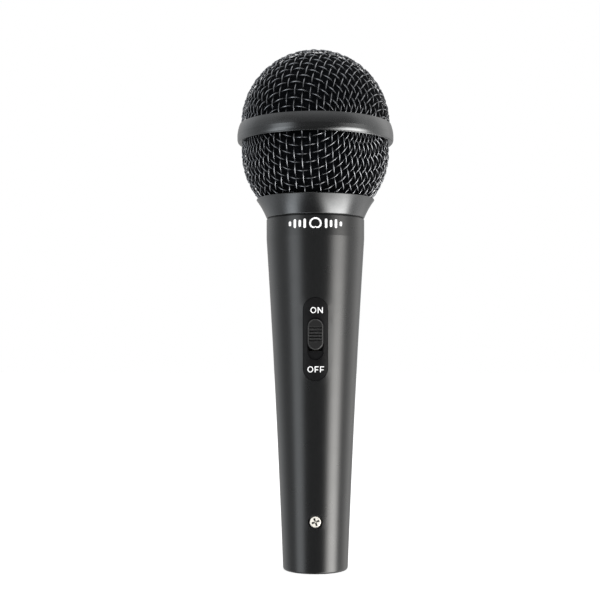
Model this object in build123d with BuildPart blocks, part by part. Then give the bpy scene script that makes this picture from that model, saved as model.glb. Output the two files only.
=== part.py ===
from build123d import *
import math
import os

# Handheld dynamic vocal microphone: ball grille, moving-coil cartridge, slide switch and a
# three-pole plug insert in the end of the handle.
#
# Millimetres.  The origin is the centre of the handle's open end, +Z runs up the handle towards
# the grille, and the switch faces -Y.  Profiles are drawn as (radius, height) and turned about Z.

os.makedirs("parts", exist_ok=True)

# ---------------------------------------------------------------------------------------------
# Driving dimensions
# ---------------------------------------------------------------------------------------------

# Gaps between pieces
seat_gap = 0.05
fit_gap = 0.10
free_gap = 0.30

# Handle
handle_base_r = 11.0
handle_top_r = 16.6
handle_bow = 0.34
taper_height = 112.0
taper_steps = 8
shoulder_z = 119.0
handle_wall = 1.8
base_edge_r = 0.8
edge_break = 0.2
seam_height = 0.3
seam_depth = 0.5
neck_r = 15.2
neck_bore_r = 13.6
neck_top_z = 125.0
thread_pitch = 1.0
thread_width = 0.5
thread_depth = 0.3
thread_turns = 4

# Ball grille
dome_r = 25.3
dome_centre_z = 150.7
dome_rim_z = 148.0
bowl_r = 24.9
bowl_centre_z = 141.45
bowl_rim_z = 147.4
bowl_foot_z = 124.15
mesh_wall = 0.3
band_r = 26.5
band_top_z = 150.6
band_shoulder_r = 26.2
band_shoulder_z = 149.0
band_widest_z = 147.0
band_turn_z = 145.7
band_foot_r = 26.25
band_foot_z = 144.7
band_foot_edge = 0.3
band_bottom_z = 144.4
band_rib_r = 24.4
foam_wall = 2.2
dome_foam_r = 24.0
bowl_foam_r = 23.6
foam_split_z = 147.0
foam_foot_z = 127.6

# Collar
collar_bottom_r = 16.65
collar_middle_r = 18.1
collar_middle_z = 122.3
collar_top_r = 20.0
collar_top_z = 125.6
collar_lip = 0.4
collar_seat_r = 17.95
collar_seat_z = 124.05

# Cartridge
cartridge_r = 12.5
frame_bottom_z = 127.05
frame_top_z = 137.5
frame_skin = 1.2
yoke_r = 8.5
yoke_bottom_z = 128.4
yoke_wall = 1.1
magnet_r = 4.1
magnet_height = 4.5
pole_r = 4.4
pole_height = 2.0
gap_outer_r = 5.5
top_plate_height = 1.8
coil_inner_r = 4.75
coil_outer_r = 5.15
coil_bottom_z = 133.6
diaphragm_z = 138.0
diaphragm_r = 10.6
diaphragm_film = 0.15
dome_rise = 1.7
surround_rise = 0.9
cover_top_z = 142.4
cover_wall = 0.8
cloth_thickness = 0.3
chamber_r = 9.5
chamber_bottom_z = 105.0
chamber_wall = 1.0
felt_z = 119.0
felt_thickness = 3.0
board_thickness = 1.0
board_r = 7.0
lug_r = 0.6
lug_spacing = 6.0
lug_length = 4.3
mount_bore_r = 9.6
mount_foot_z = 117.0
mount_flange_r = 15.0
mount_top_z = 133.0
mount_cup_r = 14.4

# Slide switch.  Depths run outwards from the handle's skin, so inner faces are negative.
switch_z = 77.9
plate_width = 8.0
plate_length = 27.3
plate_gap = 0.15
plate_sink = 0.04
plate_depth = 1.3
button_width = 5.1
button_length = 10.1
button_height = 0.9
button_centre = 1.6
button_travel = 3.2
button_edge = 0.28
slot_depth = 0.8
rib_pitch = 1.056
rib_width = 0.5
rib_count = 6
rib_length = 4.3
rib_depth = 0.42
boss_width = 10.0
boss_length = 27.0
boss_depth = 3.2
stem_width = 4.0
stem_length = 4.0
slider_width = 6.4
slider_length = 10.6
slider_height = 2.85
frame_width = 8.4
frame_length = 25.0
frame_sheet = 0.6
frame_side_length = 16.6
frame_side_depth = 10.2
base_width = 6.9
base_length = 16.4
base_depth = 8.5
base_thickness = 1.2
terminal_pitch = 4.0
terminal_head = 2.4
terminal_head_thickness = 0.3
tail_width = 1.2
tail_thickness = 0.5
tail_depth = 13.0
bridge_width = 3.0
bridge_length = 6.6
bridge_sheet = 0.3
bridge_bump_r = 0.45
screw_offset = 10.4
small_screw_r = 1.0
small_screw_head_r = 1.65
small_screw_depth = 5.0

# Plug insert
insert_r = 9.5
insert_bore_r = 8.05
insert_bottom_z = 0.5
insert_top_z = 20.5
insulator_bottom_z = 14.0
pin_r = 1.2
pin_shoulder_r = 1.45
pin_circle_r = 4.4
pin_tip_z = 2.0
pin_rear_z = 25.5
cup_r = 0.75
cup_depth = 3.0
pin_angles = (210.0, 330.0, 90.0)
latch_width = 5.0
latch_height = 4.0
latch_z = 6.0
key_width = 2.4
key_height = 1.0
key_top_z = 10.0
clip_width = 3.0
clip_sheet = 0.3
clip_reach = 4.0
tab_width = 1.2
screw_z = 17.4
screw_head_r = 1.95
screw_head_height = 1.65
screw_shank_r = 1.25
screw_tip_r = 5.3
screw_well_r = 2.45
recess_length = 2.7
recess_width = 0.6
recess_depth = 0.9

# Leads
lead_r = 0.5
lead_run_share = 0.45


def handle_radius(height):
    """Outer radius of the handle's taper, which bows inwards a little at mid height."""
    share = height / taper_height
    cone = handle_base_r + (handle_top_r - handle_base_r) * share
    return cone - 4 * handle_bow * share * (1 - share)


def handle_slope(height):
    """Growth of that radius with height."""
    return (handle_top_r - handle_base_r - 4 * handle_bow * (1 - 2 * height / taper_height)) / taper_height


def taper_outline(inset, low_z, high_z):
    """Draws the taper between two heights, inset from the handle's skin, as a row of short cones."""
    heights = [low_z + (high_z - low_z) * step / taper_steps for step in range(taper_steps + 1)]
    Polyline(*[(handle_radius(height) - inset, height) for height in heights])


def on_sphere(radius, centre_z, height):
    """Radius of a sphere's section at a height."""
    return math.sqrt(radius**2 - (height - centre_z) ** 2)


def sphere_middle(radius, centre_z, low_z, high_z):
    """The point of a sphere's profile halfway, by angle, between two heights."""
    low_angle = math.asin((low_z - centre_z) / radius)
    high_angle = math.asin((high_z - centre_z) / radius)
    angle = (low_angle + high_angle) / 2
    return (radius * math.cos(angle), centre_z + radius * math.sin(angle))


# ---------------------------------------------------------------------------------------------
# Handle
# ---------------------------------------------------------------------------------------------

# The switch is laid out on the plane that touches the handle's skin at the plate's centre:
# its x is +X, its y runs up the handle and its z points out of the handle.
slope_angle = math.atan(handle_slope(switch_z))
switch_plane = Plane(
    origin=(0, -handle_radius(switch_z), switch_z),
    x_dir=(1, 0, 0),
    z_dir=(0, -math.cos(slope_angle), -math.sin(slope_angle)),
)
slot_centre = button_centre - button_travel / 2
slot_length = button_length + button_travel + 2 * free_gap
window_width = stem_width + 2 * free_gap
window_length = stem_length + button_travel + 2 * free_gap
screw_places = [(0, slot_centre - screw_offset), (0, slot_centre + screw_offset)]

bore_r = insert_r + fit_gap
bore_top_z = insert_top_z + 1.0
cone_foot_z = bore_top_z + 0.6
cone_top_z = 108.0
neck_bore_foot_z = 112.0
thread_heights = [shoulder_z + (turn + 1) * thread_pitch for turn in range(thread_turns)]

with BuildPart() as handle_body:
    with BuildSketch(Plane.XZ):
        with BuildLine():
            Line((bore_r + edge_break, 0), (handle_radius(base_edge_r) - base_edge_r, 0))
            RadiusArc(
                (handle_radius(base_edge_r) - base_edge_r, 0),
                (handle_radius(base_edge_r), base_edge_r),
                -base_edge_r,
            )
            taper_outline(0, base_edge_r, taper_height)
            Polyline(
                (handle_top_r, taper_height),
                (handle_top_r, shoulder_z - seam_height - edge_break),
                (handle_top_r - edge_break, shoulder_z - seam_height),
                (handle_top_r - seam_depth, shoulder_z - seam_height),
                (handle_top_r - seam_depth, shoulder_z),
                (neck_r, shoulder_z),
                (neck_r, neck_top_z - edge_break),
                (neck_r - edge_break, neck_top_z),
                (neck_bore_r, neck_top_z),
                (neck_bore_r, neck_bore_foot_z),
                (handle_radius(cone_top_z) - handle_wall, cone_top_z),
            )
            taper_outline(handle_wall, cone_foot_z, cone_top_z)
            Polyline(
                (handle_radius(cone_foot_z) - handle_wall, cone_foot_z),
                (bore_r, bore_top_z),
                (bore_r, edge_break),
                (bore_r + edge_break, 0),
            )
        make_face()
    revolve(axis=Axis.Z)
    # Thread on the neck, as rings at the thread's pitch
    with BuildSketch(Plane.XZ):
        with Locations(*[(neck_r, height) for height in thread_heights]):
            Rectangle(2 * thread_depth, thread_width)
    revolve(axis=Axis.Z, mode=Mode.SUBTRACT)
    # Flat pad inside the wall for the switch frame
    with BuildSketch(switch_plane.offset(-boss_depth)):
        with Locations((0, slot_centre)):
            RectangleRounded(boss_width, boss_length, 1.5)
    extrude(amount=boss_depth / 2)
    # Recess for the plate, window for the slider's stem, countersunk screw holes
    with BuildSketch(switch_plane.offset(-plate_depth - seat_gap)):
        SlotOverall(plate_length + 2 * plate_gap, plate_width + 2 * plate_gap, rotation=90)
    extrude(amount=2 * plate_depth, mode=Mode.SUBTRACT)
    with BuildSketch(switch_plane):
        with Locations((0, slot_centre)):
            Rectangle(window_width, window_length)
    extrude(amount=-2 * boss_depth, mode=Mode.SUBTRACT)
    with Locations(switch_plane.offset(-plate_depth - seat_gap)):
        with Locations(*screw_places):
            CounterSinkHole(
                radius=small_screw_r + seat_gap,
                counter_sink_radius=small_screw_head_r + seat_gap,
                depth=boss_depth,
                counter_sink_angle=90,
            )
    # Well for the plug insert's locking screw
    with BuildSketch(Plane.XZ.offset(insert_r - 1)):
        with Locations((0, screw_z)):
            Circle(screw_well_r)
    extrude(amount=handle_wall * 3, mode=Mode.SUBTRACT)
handle_body.part.label = "handle_body"
export_step(handle_body.part, "parts/handle_body.step")

# ---------------------------------------------------------------------------------------------
# Ball grille: each woven half is a thin closed shell that holds the weave's outer surface
# ---------------------------------------------------------------------------------------------

with BuildPart() as upper_mesh:
    with BuildSketch(Plane.XZ):
        with BuildLine():
            Line((dome_r, dome_rim_z), (dome_r, dome_centre_z))
            CenterArc((0, dome_centre_z), dome_r, 0, 90)
            Line((0, dome_centre_z + dome_r), (0, dome_centre_z + dome_r - mesh_wall))
            CenterArc((0, dome_centre_z), dome_r - mesh_wall, 0, 90)
            Polyline(
                (dome_r - mesh_wall, dome_centre_z),
                (dome_r - mesh_wall, dome_rim_z),
                (dome_r, dome_rim_z),
            )
        make_face()
    revolve(axis=Axis.Z)
upper_mesh.part.label = "upper_mesh"
export_step(upper_mesh.part, "parts/upper_mesh.step")

bowl_inner_r = bowl_r - mesh_wall

with BuildPart() as lower_mesh:
    with BuildSketch(Plane.XZ):
        with BuildLine():
            Line((bowl_r, bowl_rim_z), (bowl_r, bowl_centre_z))
            ThreePointArc(
                (bowl_r, bowl_centre_z),
                sphere_middle(bowl_r, bowl_centre_z, bowl_foot_z, bowl_centre_z),
                (on_sphere(bowl_r, bowl_centre_z, bowl_foot_z), bowl_foot_z),
            )
            Line(
                (on_sphere(bowl_r, bowl_centre_z, bowl_foot_z), bowl_foot_z),
                (on_sphere(bowl_inner_r, bowl_centre_z, bowl_foot_z), bowl_foot_z),
            )
            ThreePointArc(
                (on_sphere(bowl_inner_r, bowl_centre_z, bowl_foot_z), bowl_foot_z),
                sphere_middle(bowl_inner_r, bowl_centre_z, bowl_foot_z, bowl_centre_z),
                (bowl_inner_r, bowl_centre_z),
            )
            Polyline((bowl_inner_r, bowl_centre_z), (bowl_inner_r, bowl_rim_z), (bowl_r, bowl_rim_z))
        make_face()
    revolve(axis=Axis.Z)
lower_mesh.part.label = "lower_mesh"
export_step(lower_mesh.part, "parts/lower_mesh.step")

# The band grips both rims: a rib between them keeps them apart
with BuildPart() as equator_band:
    with BuildSketch(Plane.XZ):
        with BuildLine():
            Polyline(
                (dome_r + seat_gap, dome_rim_z - seat_gap),
                (dome_r + seat_gap, band_top_z - edge_break),
                (dome_r + 2 * edge_break, band_top_z),
            )
            ThreePointArc(
                (dome_r + 2 * edge_break, band_top_z),
                (band_shoulder_r, band_shoulder_z),
                (band_r, band_widest_z),
            )
            Line((band_r, band_widest_z), (band_r, band_turn_z))
            TangentArc((band_r, band_turn_z), (band_foot_r, band_foot_z), tangent=(0, -1))
            RadiusArc(
                (band_foot_r, band_foot_z),
                (band_foot_r - band_foot_edge, band_bottom_z),
                -band_foot_edge,
            )
            Polyline(
                (band_foot_r - band_foot_edge, band_bottom_z),
                (bowl_r + seat_gap, band_bottom_z),
                (bowl_r + seat_gap, bowl_rim_z + seat_gap),
                (band_rib_r, bowl_rim_z + seat_gap),
                (band_rib_r, dome_rim_z - seat_gap),
                (dome_r + seat_gap, dome_rim_z - seat_gap),
            )
        make_face()
    revolve(axis=Axis.Z)
equator_band.part.label = "equator_band"
export_step(equator_band.part, "parts/equator_band.step")

collar_foot_z = shoulder_z + seat_gap
collar_bore_r = neck_r + fit_gap

with BuildPart() as grille_collar:
    with BuildSketch(Plane.XZ):
        with BuildLine():
            Line((collar_bore_r, collar_foot_z), (collar_bottom_r - edge_break, collar_foot_z))
            Line((collar_bottom_r - edge_break, collar_foot_z), (collar_bottom_r, collar_foot_z + edge_break))
            ThreePointArc(
                (collar_bottom_r, collar_foot_z + edge_break),
                (collar_middle_r, collar_middle_z),
                (collar_top_r, collar_top_z - collar_lip),
            )
            RadiusArc(
                (collar_top_r, collar_top_z - collar_lip),
                (collar_top_r - collar_lip, collar_top_z),
                -collar_lip,
            )
            Polyline(
                (collar_top_r - collar_lip, collar_top_z),
                (on_sphere(bowl_r, bowl_centre_z, collar_top_z) + seat_gap, collar_top_z),
                (collar_seat_r, collar_seat_z),
                (collar_bore_r, collar_seat_z),
                (collar_bore_r, collar_foot_z),
            )
        make_face()
    revolve(axis=Axis.Z)
    with BuildSketch(Plane.XZ):
        with Locations(*[(collar_bore_r, height) for height in thread_heights]):
            Rectangle(2 * thread_depth, thread_width)
    revolve(axis=Axis.Z, mode=Mode.SUBTRACT)
grille_collar.part.label = "grille_collar"
export_step(grille_collar.part, "parts/grille_collar.step")

with BuildPart() as foam_dome:
    with BuildSketch(Plane.XZ):
        with BuildLine():
            Line((dome_foam_r, foam_split_z + seat_gap), (dome_foam_r, dome_centre_z))
            CenterArc((0, dome_centre_z), dome_foam_r, 0, 90)
            Line((0, dome_centre_z + dome_foam_r), (0, dome_centre_z + dome_foam_r - foam_wall))
            CenterArc((0, dome_centre_z), dome_foam_r - foam_wall, 0, 90)
            Polyline(
                (dome_foam_r - foam_wall, dome_centre_z),
                (dome_foam_r - foam_wall, foam_split_z + seat_gap),
                (dome_foam_r, foam_split_z + seat_gap),
            )
        make_face()
    revolve(axis=Axis.Z)
foam_dome.part.label = "foam_dome"
export_step(foam_dome.part, "parts/foam_dome.step")

foam_inner_r = bowl_foam_r - foam_wall

with BuildPart() as foam_bowl:
    with BuildSketch(Plane.XZ):
        with BuildLine():
            Line((bowl_foam_r, foam_split_z), (bowl_foam_r, bowl_centre_z))
            ThreePointArc(
                (bowl_foam_r, bowl_centre_z),
                sphere_middle(bowl_foam_r, bowl_centre_z, foam_foot_z, bowl_centre_z),
                (on_sphere(bowl_foam_r, bowl_centre_z, foam_foot_z), foam_foot_z),
            )
            Line(
                (on_sphere(bowl_foam_r, bowl_centre_z, foam_foot_z), foam_foot_z),
                (on_sphere(foam_inner_r, bowl_centre_z, foam_foot_z), foam_foot_z),
            )
            ThreePointArc(
                (on_sphere(foam_inner_r, bowl_centre_z, foam_foot_z), foam_foot_z),
                sphere_middle(foam_inner_r, bowl_centre_z, foam_foot_z, bowl_centre_z),
                (foam_inner_r, bowl_centre_z),
            )
            Polyline((foam_inner_r, bowl_centre_z), (foam_inner_r, foam_split_z), (bowl_foam_r, foam_split_z))
        make_face()
    revolve(axis=Axis.Z)
foam_bowl.part.label = "foam_bowl"
export_step(foam_bowl.part, "parts/foam_bowl.step")

# ---------------------------------------------------------------------------------------------
# Cartridge
# ---------------------------------------------------------------------------------------------

with BuildPart() as shock_mount:
    with BuildSketch(Plane.XZ):
        with BuildLine():
            Polyline(
                (mount_bore_r, mount_foot_z),
                (neck_bore_r - fit_gap, mount_foot_z),
                (neck_bore_r - fit_gap, neck_top_z + seat_gap),
                (mount_flange_r, neck_top_z + seat_gap),
                (mount_flange_r, frame_bottom_z + seat_gap),
                (mount_cup_r, frame_bottom_z + handle_wall),
                (mount_cup_r, mount_top_z - seat_gap),
                (cartridge_r + fit_gap, mount_top_z),
                (cartridge_r + fit_gap, frame_bottom_z - seat_gap),
                (mount_bore_r, frame_bottom_z - seat_gap),
                (mount_bore_r, mount_foot_z),
            )
        make_face()
    revolve(axis=Axis.Z)
    # Soft corrugations that let the foot flex in the neck
    with BuildSketch(Plane.XZ):
        with Locations(*[(neck_bore_r, mount_foot_z + 2 * (ring + 1)) for ring in range(3)]):
            Rectangle(1.4, 0.9)
    revolve(axis=Axis.Z, mode=Mode.SUBTRACT)
shock_mount.part.label = "shock_mount"
export_step(shock_mount.part, "parts/shock_mount.step")

magnet_foot_z = yoke_bottom_z + yoke_wall + seat_gap / 2
pole_foot_z = magnet_foot_z + magnet_height + seat_gap / 2
pole_top_z = pole_foot_z + pole_height
top_plate_foot_z = pole_top_z - top_plate_height
port_height = 3.2
port_width = 2.6
port_count = 8

with BuildPart() as cartridge_frame:
    with BuildSketch(Plane.XZ):
        with BuildLine():
            Polyline(
                (chamber_r - chamber_wall, frame_bottom_z),
                (cartridge_r - edge_break, frame_bottom_z),
                (cartridge_r, frame_bottom_z + edge_break),
                (cartridge_r, frame_top_z),
                (yoke_r + seat_gap, frame_top_z),
                (yoke_r + seat_gap, frame_top_z - frame_skin),
                (cartridge_r - frame_skin, frame_top_z - frame_skin),
                (cartridge_r - frame_skin, yoke_bottom_z),
                (yoke_r + seat_gap, yoke_bottom_z - seat_gap),
                (chamber_r - chamber_wall, yoke_bottom_z - seat_gap),
                (chamber_r - chamber_wall, frame_bottom_z),
            )
        make_face()
    revolve(axis=Axis.Z)
    with BuildSketch(Plane.XY.offset(mount_top_z + seat_gap)):
        with PolarLocations(cartridge_r, port_count):
            Rectangle(4 * frame_skin, port_width)
    extrude(amount=port_height, mode=Mode.SUBTRACT)
    with BuildSketch(Plane.XY.offset(frame_bottom_z)):
        Circle(yoke_r - yoke_wall)
    extrude(amount=yoke_bottom_z - frame_bottom_z, mode=Mode.SUBTRACT)
cartridge_frame.part.label = "cartridge_frame"
export_step(cartridge_frame.part, "parts/cartridge_frame.step")

with BuildPart() as yoke_cup:
    with BuildSketch(Plane.XZ):
        with BuildLine():
            Polyline(
                (0, yoke_bottom_z),
                (yoke_r, yoke_bottom_z),
                (yoke_r, top_plate_foot_z - seat_gap / 2),
                (yoke_r - yoke_wall, top_plate_foot_z - seat_gap / 2),
                (yoke_r - yoke_wall, yoke_bottom_z + yoke_wall),
                (0, yoke_bottom_z + yoke_wall),
                (0, yoke_bottom_z),
            )
        make_face()
    revolve(axis=Axis.Z)
    fillet(yoke_cup.edges().filter_by(GeomType.CIRCLE).group_by(Axis.Z)[0], yoke_wall / 2)
yoke_cup.part.label = "yoke_cup"
export_step(yoke_cup.part, "parts/yoke_cup.step")

with BuildPart() as magnet:
    with BuildSketch(Plane.XY.offset(magnet_foot_z)):
        Circle(magnet_r)
    extrude(amount=magnet_height)
    chamfer(magnet.edges().filter_by(GeomType.CIRCLE), edge_break)
magnet.part.label = "magnet"
export_step(magnet.part, "parts/magnet.step")

with BuildPart() as pole_piece:
    with BuildSketch(Plane.XY.offset(pole_foot_z)):
        Circle(pole_r)
    extrude(amount=pole_height)
    chamfer(pole_piece.edges().filter_by(GeomType.CIRCLE).group_by(Axis.Z)[-1], edge_break)
pole_piece.part.label = "pole_piece"
export_step(pole_piece.part, "parts/pole_piece.step")

with BuildPart() as top_plate:
    with BuildSketch(Plane.XY.offset(top_plate_foot_z)):
        Circle(yoke_r)
        Circle(gap_outer_r, mode=Mode.SUBTRACT)
    extrude(amount=top_plate_height)
top_plate.part.label = "top_plate"
export_step(top_plate.part, "parts/top_plate.step")

with BuildPart() as voice_coil:
    with BuildSketch(Plane.XY.offset(coil_bottom_z)):
        Circle(coil_outer_r)
        Circle(coil_inner_r, mode=Mode.SUBTRACT)
    extrude(amount=diaphragm_z - seat_gap / 5 - coil_bottom_z)
voice_coil.part.label = "voice_coil"
export_step(voice_coil.part, "parts/voice_coil.step")

# One film: a dome over the coil, a rolled surround and a flat rim
surround_inner_r = coil_outer_r + edge_break
surround_outer_r = diaphragm_r - 3 * edge_break
surround_middle_r = (surround_inner_r + surround_outer_r) / 2
dome_foot_r = coil_inner_r - edge_break
film_dome_r = (dome_foot_r**2 + dome_rise**2) / (2 * dome_rise)
film_dome_half_angle = math.asin(dome_foot_r / film_dome_r) / 2
film_dome_middle_r = film_dome_r * math.sin(film_dome_half_angle)
film_dome_middle_rise = dome_rise - film_dome_r * (1 - math.cos(film_dome_half_angle))
film_top_z = diaphragm_z + diaphragm_film

with BuildPart() as diaphragm:
    with BuildSketch(Plane.XZ):
        with BuildLine():
            Polyline((surround_outer_r, diaphragm_z), (diaphragm_r, diaphragm_z), (diaphragm_r, film_top_z))
            Line((diaphragm_r, film_top_z), (surround_outer_r, film_top_z))
            for level in (diaphragm_z, film_top_z):
                ThreePointArc(
                    (surround_outer_r, level),
                    (surround_middle_r, level + surround_rise),
                    (surround_inner_r, level),
                )
                Line((surround_inner_r, level), (dome_foot_r, level))
                ThreePointArc(
                    (dome_foot_r, level),
                    (film_dome_middle_r, level + film_dome_middle_rise),
                    (0, level + dome_rise),
                )
            Line((0, diaphragm_z + dome_rise), (0, film_top_z + dome_rise))
        make_face()
    revolve(axis=Axis.Z)
diaphragm.part.label = "diaphragm"
export_step(diaphragm.part, "parts/diaphragm.step")

cover_foot_z = frame_top_z + seat_gap
cover_underside_z = cover_top_z - cover_wall
cover_hole_r = 0.85
hole_rings = ((0.0, 1), (3.4, 6), (6.6, 12))

with BuildPart() as cartridge_cover:
    with BuildSketch(Plane.XZ):
        with BuildLine():
            Polyline(
                (cartridge_r, cover_foot_z),
                (cartridge_r, cover_top_z - cover_wall),
                (cartridge_r - cover_wall, cover_top_z),
                (0, cover_top_z),
                (0, cover_underside_z),
                (cartridge_r - cover_wall, cover_underside_z),
                (cartridge_r - cover_wall, cover_foot_z),
                (cartridge_r, cover_foot_z),
            )
        make_face()
    revolve(axis=Axis.Z)
    with BuildSketch(Plane.XY.offset(cover_underside_z)):
        for ring_r, hole_count in hole_rings:
            with PolarLocations(ring_r, hole_count):
                Circle(cover_hole_r)
    extrude(amount=cover_wall, mode=Mode.SUBTRACT)
cartridge_cover.part.label = "cartridge_cover"
export_step(cartridge_cover.part, "parts/cartridge_cover.step")

with BuildPart() as front_cloth:
    with BuildSketch(Plane.XY.offset(cover_underside_z - seat_gap - cloth_thickness)):
        Circle(cartridge_r - cover_wall - seat_gap)
    extrude(amount=cloth_thickness)
front_cloth.part.label = "front_cloth"
export_step(front_cloth.part, "parts/front_cloth.step")

with BuildPart() as rear_chamber:
    with BuildSketch(Plane.XY.offset(chamber_bottom_z)):
        Circle(chamber_r)
    extrude(amount=frame_bottom_z - seat_gap - chamber_bottom_z)
    with BuildSketch(Plane.XY.offset(chamber_bottom_z + chamber_wall)):
        Circle(chamber_r - chamber_wall)
    extrude(amount=frame_bottom_z - chamber_bottom_z, mode=Mode.SUBTRACT)
    fillet(rear_chamber.edges().filter_by(GeomType.CIRCLE).group_by(Axis.Z)[0], chamber_wall / 2)
rear_chamber.part.label = "rear_chamber"
export_step(rear_chamber.part, "parts/rear_chamber.step")

with BuildPart() as chamber_felt:
    with BuildSketch(Plane.XY.offset(felt_z)):
        Circle(chamber_r - chamber_wall - seat_gap)
    extrude(amount=felt_thickness)
chamber_felt.part.label = "chamber_felt"
export_step(chamber_felt.part, "parts/chamber_felt.step")

board_top_z = chamber_bottom_z - seat_gap
board_foot_z = board_top_z - board_thickness
lug_places = [(lug_spacing / 2, 0), (-lug_spacing / 2, 0)]

with BuildPart() as terminal_board:
    with BuildSketch(Plane.XY.offset(board_foot_z)):
        Circle(board_r)
        with Locations(*lug_places):
            Circle(lug_r + seat_gap, mode=Mode.SUBTRACT)
    extrude(amount=board_thickness)
terminal_board.part.label = "terminal_board"
export_step(terminal_board.part, "parts/terminal_board.step")

lug_tip_z = board_top_z - lug_length

with BuildPart() as solder_terminals:
    with BuildSketch(Plane.XY.offset(lug_tip_z)):
        with Locations(*lug_places):
            Circle(lug_r)
    extrude(amount=lug_length)
solder_terminals.part.label = "solder_terminals"
export_step(solder_terminals.part, "parts/solder_terminals.step")

# ---------------------------------------------------------------------------------------------
# Slide switch
# ---------------------------------------------------------------------------------------------

# The plate follows the handle's skin: a slot-shaped block cut back to the taper.  The button runs
# in a sunk slot, and only the slider's stem goes through the slot's floor.
with BuildPart() as switch_plate:
    with BuildSketch(switch_plane.offset(-plate_depth)):
        SlotOverall(plate_length, plate_width, rotation=90)
    extrude(amount=2 * plate_depth)
    with BuildSketch(Plane.XZ):
        with BuildLine():
            taper_outline(plate_sink, 0, taper_height)
            Polyline(
                (handle_top_r - plate_sink, taper_height),
                (0, taper_height),
                (0, 0),
                (handle_base_r - plate_sink, 0),
            )
        make_face()
    revolve(axis=Axis.Z, mode=Mode.INTERSECT)
    with BuildSketch(switch_plane.offset(-slot_depth)):
        with Locations((0, slot_centre)):
            SlotOverall(slot_length, button_width + 2 * fit_gap, rotation=90)
    extrude(amount=2 * slot_depth, mode=Mode.SUBTRACT)
    with BuildSketch(switch_plane):
        with Locations((0, slot_centre)):
            Rectangle(window_width, window_length)
    extrude(amount=-2 * plate_depth, mode=Mode.SUBTRACT)
switch_plate.part.label = "switch_plate"
export_step(switch_plate.part, "parts/switch_plate.step")

button_foot = fit_gap - slot_depth
pocket_depth = 0.8

with BuildPart() as switch_button:
    with BuildSketch(switch_plane.offset(button_foot)):
        with Locations((0, button_centre)):
            SlotOverall(button_length, button_width, rotation=90)
    extrude(amount=button_height - button_foot)
    outward = Axis(switch_plane.origin, switch_plane.z_dir)
    chamfer(switch_button.faces().sort_by(outward)[-1].edges(), button_edge)
    # Dished grip with ridges left standing in it
    grip_length = rib_pitch * (rib_count - 1)
    with BuildSketch(switch_plane.offset(button_height)):
        with Locations((0, button_centre)):
            Rectangle(rib_length, grip_length)
        with Locations((0, button_centre)):
            with GridLocations(0, rib_pitch, 1, rib_count):
                Rectangle(rib_length, rib_width, mode=Mode.SUBTRACT)
    extrude(amount=-rib_depth, mode=Mode.SUBTRACT)
    # Pocket that is pressed over the slider's stem
    with BuildSketch(switch_plane.offset(button_foot)):
        with Locations((0, button_centre)):
            Rectangle(stem_width + 2 * seat_gap, stem_length + 2 * seat_gap)
    extrude(amount=pocket_depth, mode=Mode.SUBTRACT)
switch_button.part.label = "switch_button"
export_step(switch_button.part, "parts/switch_button.step")

frame_top = -boss_depth - seat_gap
frame_underside = frame_top - frame_sheet
slider_top = frame_underside - free_gap
slider_foot = slider_top - slider_height

with BuildPart() as switch_frame:
    with BuildSketch(switch_plane.offset(frame_underside)):
        with Locations((0, slot_centre)):
            RectangleRounded(frame_width, frame_length, 1.2)
            Rectangle(window_width, window_length, mode=Mode.SUBTRACT)
        with Locations(*screw_places):
            Circle(small_screw_r + seat_gap, mode=Mode.SUBTRACT)
    extrude(amount=frame_sheet)
    with BuildSketch(switch_plane.offset(frame_top)):
        with Locations((0, slot_centre)):
            Rectangle(frame_width, frame_side_length)
            Rectangle(frame_width - 2 * frame_sheet, frame_side_length, mode=Mode.SUBTRACT)
    extrude(amount=-(frame_side_depth + frame_top))
switch_frame.part.label = "switch_frame"
export_step(switch_frame.part, "parts/switch_frame.step")

with BuildPart() as switch_slider:
    with BuildSketch(switch_plane.offset(slider_foot)):
        with Locations((0, button_centre)):
            RectangleRounded(slider_width, slider_length, 0.4)
    extrude(amount=slider_height)
    with BuildSketch(switch_plane.offset(slider_top)):
        with Locations((0, button_centre)):
            Rectangle(stem_width, stem_length)
    extrude(amount=button_foot + pocket_depth - seat_gap - slider_top)
switch_slider.part.label = "switch_slider"
export_step(switch_slider.part, "parts/switch_slider.step")

bridge_top = slider_foot - seat_gap
bump_places = [(0, button_centre - terminal_pitch / 2), (0, button_centre + terminal_pitch / 2)]

with BuildPart() as contact_bridge:
    with BuildSketch(switch_plane.offset(bridge_top - bridge_sheet)):
        with Locations((0, button_centre)):
            RectangleRounded(bridge_width, bridge_length, 0.5)
    extrude(amount=bridge_sheet)
    with BuildSketch(switch_plane.offset(bridge_top - bridge_sheet)):
        with Locations(*bump_places):
            Circle(bridge_bump_r)
    extrude(amount=-bridge_bump_r / 2, taper=20)
contact_bridge.part.label = "contact_bridge"
export_step(contact_bridge.part, "parts/contact_bridge.step")

terminal_places = [(0, slot_centre + step * terminal_pitch) for step in (-1, 0, 1)]

with BuildPart() as switch_base:
    with BuildSketch(switch_plane.offset(-base_depth)):
        with Locations((0, slot_centre)):
            Rectangle(base_width, base_length)
        with Locations(*terminal_places):
            Rectangle(tail_width + 2 * seat_gap, tail_thickness + 2 * seat_gap, mode=Mode.SUBTRACT)
    extrude(amount=-base_thickness)
switch_base.part.label = "switch_base"
export_step(switch_base.part, "parts/switch_base.step")

with BuildPart() as switch_terminals:
    with BuildSketch(switch_plane.offset(-base_depth + seat_gap / 2)):
        with Locations(*terminal_places):
            Rectangle(terminal_head, terminal_head)
    extrude(amount=terminal_head_thickness)
    with BuildSketch(switch_plane.offset(-base_depth + seat_gap / 2)):
        with Locations(*terminal_places):
            Rectangle(tail_width, tail_thickness)
    extrude(amount=-(tail_depth - base_depth + seat_gap / 2))
switch_terminals.part.label = "switch_terminals"
export_step(switch_terminals.part, "parts/switch_terminals.step")

screw_face = -plate_depth - 2 * seat_gap
head_cone_height = small_screw_head_r - small_screw_r

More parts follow.
